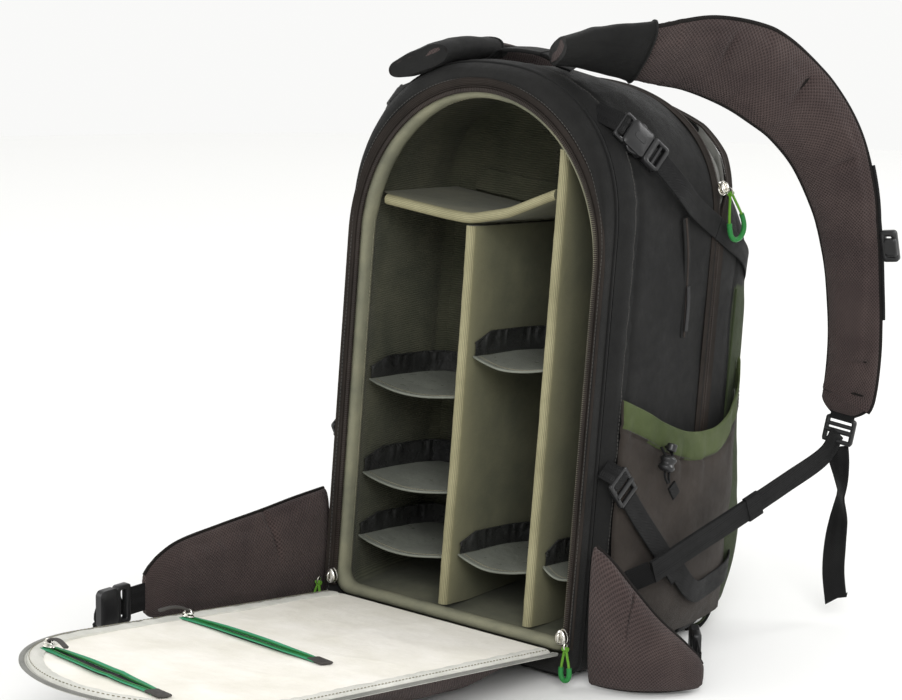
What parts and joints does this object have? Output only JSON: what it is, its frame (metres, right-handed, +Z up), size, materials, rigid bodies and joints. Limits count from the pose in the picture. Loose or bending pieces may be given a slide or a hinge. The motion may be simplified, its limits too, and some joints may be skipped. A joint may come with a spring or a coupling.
{
  "type": "camera backpack",
  "caption": "Rear-opening camera backpack with its access panel folded down, padded dividers and shelves, shoulder straps, hip wings, side pockets and zips.",
  "frame": {"origin": "on the floor under the middle of the bag, on the underside of the base pad", "axes": "+X to the right of someone facing the opening, -Y towards that person, +Z up"},
  "size_m": [0.4612, 0.7691, 0.5504],
  "materials": {
    "nylon": "woven black nylon, matt",
    "lining": "ribbed brushed lining, grey green",
    "divider": "brushed foam divider cloth with pale piped edges",
    "satin": "grey satin with a soft sheen",
    "zip": "dark coil zip on woven tape",
    "grey_zip": "light grey coil zip",
    "webbing": "black woven webbing",
    "plastic": "moulded black acetal",
    "mesh": "brown black spacer mesh over foam",
    "taupe": "taupe woven polyester",
    "olive": "olive green ripstop nylon",
    "panel": "white translucent liner cloth on a stiff sheet",
    "steel": "plated die-cast zip slider",
    "pull": "green cord and rubber tube",
    "rubber": "coated base fabric"
  },
  "bodies": {
    "bag": {"back_rim": "nylon", "bag_zip_chain": "zip", "base_pad": "rubber", "buckle_socket_left": "plastic", "buckle_socket_right": "plastic", "centre_divider": "divider", "foam_liner": "lining", "front_pocket": "olive", "front_shell": "nylon", "lower_webbing_left": "webbing", "lower_webbing_right": "webbing", "outer_shell": "nylon", "right_divider": "divider", "side_pocket_left": "taupe", "side_pocket_right": "taupe", "strap_webbing_left": "webbing", "strap_webbing_right": "webbing", "top_divider": "divider", "top_handle": "webbing", "upper_webbing_left": "webbing", "upper_webbing_right": "webbing"},
    "back_panel": {"panel_zip_chain": "grey_zip", "panel_board": "panel", "panel_pad": "mesh"},
    "shelf_left_top": {"shelf_left_top": "satin"},
    "shelf_left_middle": {"shelf_left_middle": "satin"},
    "shelf_left_low": {"shelf_left_low": "satin"},
    "shelf_middle_top": {"shelf_middle_top": "satin"},
    "shelf_middle_low": {"shelf_middle_low": "satin"},
    "shelf_right": {"shelf_right": "satin"},
    "cord_lock_right": {"cord_lock_right": "plastic"},
    "cord_lock_button_right": {"cord_lock_button_right": "plastic"},
    "buckle_plug_right": {"buckle_plug_right": "plastic"},
    "lower_lock_right": {"lower_lock_right": "plastic"},
    "strap_right": {"shoulder_strap_right": "mesh", "strap_tail_right": "webbing"},
    "strap_lock_right": {"strap_lock_right": "plastic"},
    "sternum_right": {"sternum_slider_right": "plastic"},
    "hip_wing_right": {"hip_wing_right": "mesh", "hip_webbing_right": "webbing"},
    "hip_buckle_right": {"hip_buckle_right": "plastic"},
    "main_slider_right": {"main_slider_right": "steel"},
    "zip_pull_right": {"zip_pull_right": "pull"},
    "cord_lock_left": {"cord_lock_left": "plastic"},
    "cord_lock_button_left": {"cord_lock_button_left": "plastic"},
    "buckle_plug_left": {"buckle_plug_left": "plastic"},
    "lower_lock_left": {"lower_lock_left": "plastic"},
    "strap_left": {"shoulder_strap_left": "mesh", "strap_tail_left": "webbing"},
    "strap_lock_left": {"strap_lock_left": "plastic"},
    "sternum_left": {"sternum_slider_left": "plastic"},
    "hip_wing_left": {"hip_wing_left": "mesh", "hip_webbing_left": "webbing"},
    "hip_buckle_left": {"hip_buckle_left": "plastic"},
    "main_slider_left": {"main_slider_left": "steel"},
    "zip_pull_left": {"zip_pull_left": "pull"},
    "panel_slider_low": {"panel_slider_low": "steel"},
    "panel_slider_high": {"panel_slider_high": "steel"},
    "front_slider": {"front_slider": "steel"},
    "front_pull": {"front_pull": "pull"}
  },
  "joints": [
    {"name": "panel_hinge", "type": "hinge", "parent": "bag", "child": "back_panel", "pos_m": [0, -0.1, 0.03], "axis": [-1, 0, 0], "range_deg": [0, 87.4]},
    {"name": "shelf_left_top_fold", "type": "hinge", "parent": "bag", "child": "shelf_left_top", "pos_m": [-0.12536, -0.05917, 0.21751], "axis": [0, -0.996, 0.0889], "range_deg": [0, 75]},
    {"name": "shelf_left_middle_fold", "type": "hinge", "parent": "bag", "child": "shelf_left_middle", "pos_m": [-0.12536, -0.06673, 0.13285], "axis": [0, -0.996, 0.0889], "range_deg": [0, 42]},
    {"name": "shelf_left_low_fold", "type": "hinge", "parent": "bag", "child": "shelf_left_low", "pos_m": [-0.12536, -0.07188, 0.07508], "axis": [0, -0.996, 0.0889], "range_deg": [0, 22]},
    {"name": "shelf_middle_top_fold", "type": "hinge", "parent": "bag", "child": "shelf_middle_top", "pos_m": [-0.0114, -0.05579, 0.25536], "axis": [0, -0.996, 0.0889], "range_deg": [0, 75]},
    {"name": "shelf_middle_low_fold", "type": "hinge", "parent": "bag", "child": "shelf_middle_low", "pos_m": [-0.0114, -0.07144, 0.08006], "axis": [0, -0.996, 0.0889], "range_deg": [0, 75]},
    {"name": "shelf_right_fold", "type": "hinge", "parent": "bag", "child": "shelf_right", "pos_m": [0.0806, -0.07073, 0.08803], "axis": [0, -0.996, 0.0889], "range_deg": [0, 75]},
    {"name": "main_slider_right_travel", "type": "slide", "parent": "bag", "child": "main_slider_right", "axis": [0, 0.0889, 0.996], "range_m": [0, 0.29]},
    {"name": "zip_pull_right_swing", "type": "hinge", "parent": "main_slider_right", "child": "zip_pull_right", "pos_m": [0.136, -0.11314, 0.04021], "axis": [0, -0.996, 0.0889], "range_deg": [-8, 35]},
    {"name": "cord_lock_right_travel", "type": "slide", "parent": "bag", "child": "cord_lock_right", "axis": [0, 0.4129, 0.9108], "range_m": [0, 0.012]},
    {"name": "cord_button_right_press", "type": "slide", "parent": "cord_lock_right", "child": "cord_lock_button_right", "axis": [0, -0.4129, -0.9108], "range_m": [0, 0.0025], "stiffness_N_per_m": 300},
    {"name": "buckle_right_release", "type": "slide", "parent": "bag", "child": "buckle_plug_right", "axis": [0.478, 0.5562, -0.6798], "range_m": [0, 0.024], "deforming": ["upper_webbing_right"]},
    {"name": "lower_lock_right_tilt", "type": "hinge", "parent": "bag", "child": "lower_lock_right", "pos_m": [0.15299, -0.06148, 0.16913], "axis": [0, 0.835, 0.5502], "range_deg": [-15, 7]},
    {"name": "strap_lock_right_tilt", "type": "hinge", "parent": "strap_right", "child": "strap_lock_right", "pos_m": [0.21749, 0.18208, 0.18284], "axis": [0.9815, 0.1476, -0.1221], "range_deg": [-12, 12]},
    {"name": "sternum_right_travel", "type": "slide", "parent": "strap_right", "child": "sternum_right", "axis": [0.1164, 0.1663, -0.9792], "range_m": [-0.015, 0.015]},
    {"name": "main_slider_left_travel", "type": "slide", "parent": "bag", "child": "main_slider_left", "axis": [0, 0.0889, 0.996], "range_m": [0, 0.29]},
    {"name": "zip_pull_left_swing", "type": "hinge", "parent": "main_slider_left", "child": "zip_pull_left", "pos_m": [-0.136, -0.11314, 0.04021], "axis": [0, 0.996, -0.0889], "range_deg": [-8, 8]},
    {"name": "cord_lock_left_travel", "type": "slide", "parent": "bag", "child": "cord_lock_left", "axis": [0, 0.4129, 0.9108], "range_m": [0, 0.012]},
    {"name": "cord_button_left_press", "type": "slide", "parent": "cord_lock_left", "child": "cord_lock_button_left", "axis": [0, -0.4129, -0.9108], "range_m": [0, 0.0025], "stiffness_N_per_m": 300},
    {"name": "buckle_left_release", "type": "slide", "parent": "bag", "child": "buckle_plug_left", "axis": [-0.478, 0.5562, -0.6798], "range_m": [0, 0.024], "deforming": ["upper_webbing_left"]},
    {"name": "lower_lock_left_tilt", "type": "hinge", "parent": "bag", "child": "lower_lock_left", "pos_m": [-0.15299, -0.06148, 0.16913], "axis": [0, 0.835, 0.5502], "range_deg": [-7, 15]},
    {"name": "strap_lock_left_tilt", "type": "hinge", "parent": "strap_left", "child": "strap_lock_left", "pos_m": [-0.08516, 0.18823, 0.18166], "axis": [0.9972, -0.0037, -0.0746], "range_deg": [-12, 12]},
    {"name": "sternum_left_travel", "type": "slide", "parent": "strap_left", "child": "sternum_left", "axis": [-0.0302, 0.2918, -0.956], "range_m": [-0.015, 0.015]},
    {"name": "strap_right_lift", "type": "hinge", "parent": "bag", "child": "strap_right", "pos_m": [0.06017, -0.0426, 0.52409], "axis": [0.8192, -0.5736, 0], "range_deg": [0, 15], "deforming": ["strap_webbing_right"]},
    {"name": "strap_left_lift", "type": "hinge", "parent": "bag", "child": "strap_left", "pos_m": [-0.07, -0.066, 0.50607], "axis": [1, 0, 0], "range_deg": [0, 20], "deforming": ["strap_webbing_left"]},
    {"name": "hip_wing_right_swing", "type": "hinge", "parent": "bag", "child": "hip_wing_right", "pos_m": [0.1485, -0.091, 0.064], "axis": [0, 0, -1], "range_deg": [0, 40]},
    {"name": "hip_wing_left_swing", "type": "hinge", "parent": "bag", "child": "hip_wing_left", "pos_m": [-0.1535, -0.088, 0.064], "axis": [0, 0, -1], "range_deg": [0, 40]},
    {"name": "hip_buckle_right_swing", "type": "hinge", "parent": "hip_wing_right", "child": "hip_buckle_right", "pos_m": [0.20453, -0.01661, 0.022], "axis": [0, 0, 1], "range_deg": [-25, 25]},
    {"name": "hip_buckle_left_swing", "type": "hinge", "parent": "hip_wing_left", "child": "hip_buckle_left", "pos_m": [-0.17048, -0.31549, 0.062], "axis": [0, 0, 1], "range_deg": [-25, 25]},
    {"name": "panel_slider_low_travel", "type": "slide", "parent": "back_panel", "child": "panel_slider_low", "axis": [1, 0, 0], "range_m": [0, 0.14]},
    {"name": "panel_slider_high_travel", "type": "slide", "parent": "back_panel", "child": "panel_slider_high", "axis": [1, 0, 0], "range_m": [0, 0.14]},
    {"name": "front_slider_travel", "type": "slide", "parent": "bag", "child": "front_slider", "axis": [-0.4242, 0.0805, 0.902], "range_m": [0, 0.016]},
    {"name": "front_pull_swing", "type": "hinge", "parent": "front_slider", "child": "front_pull", "pos_m": [0.15225, 0.08785, 0.4024], "axis": [1, 0, 0], "range_deg": [-15, 15]}
  ]
}
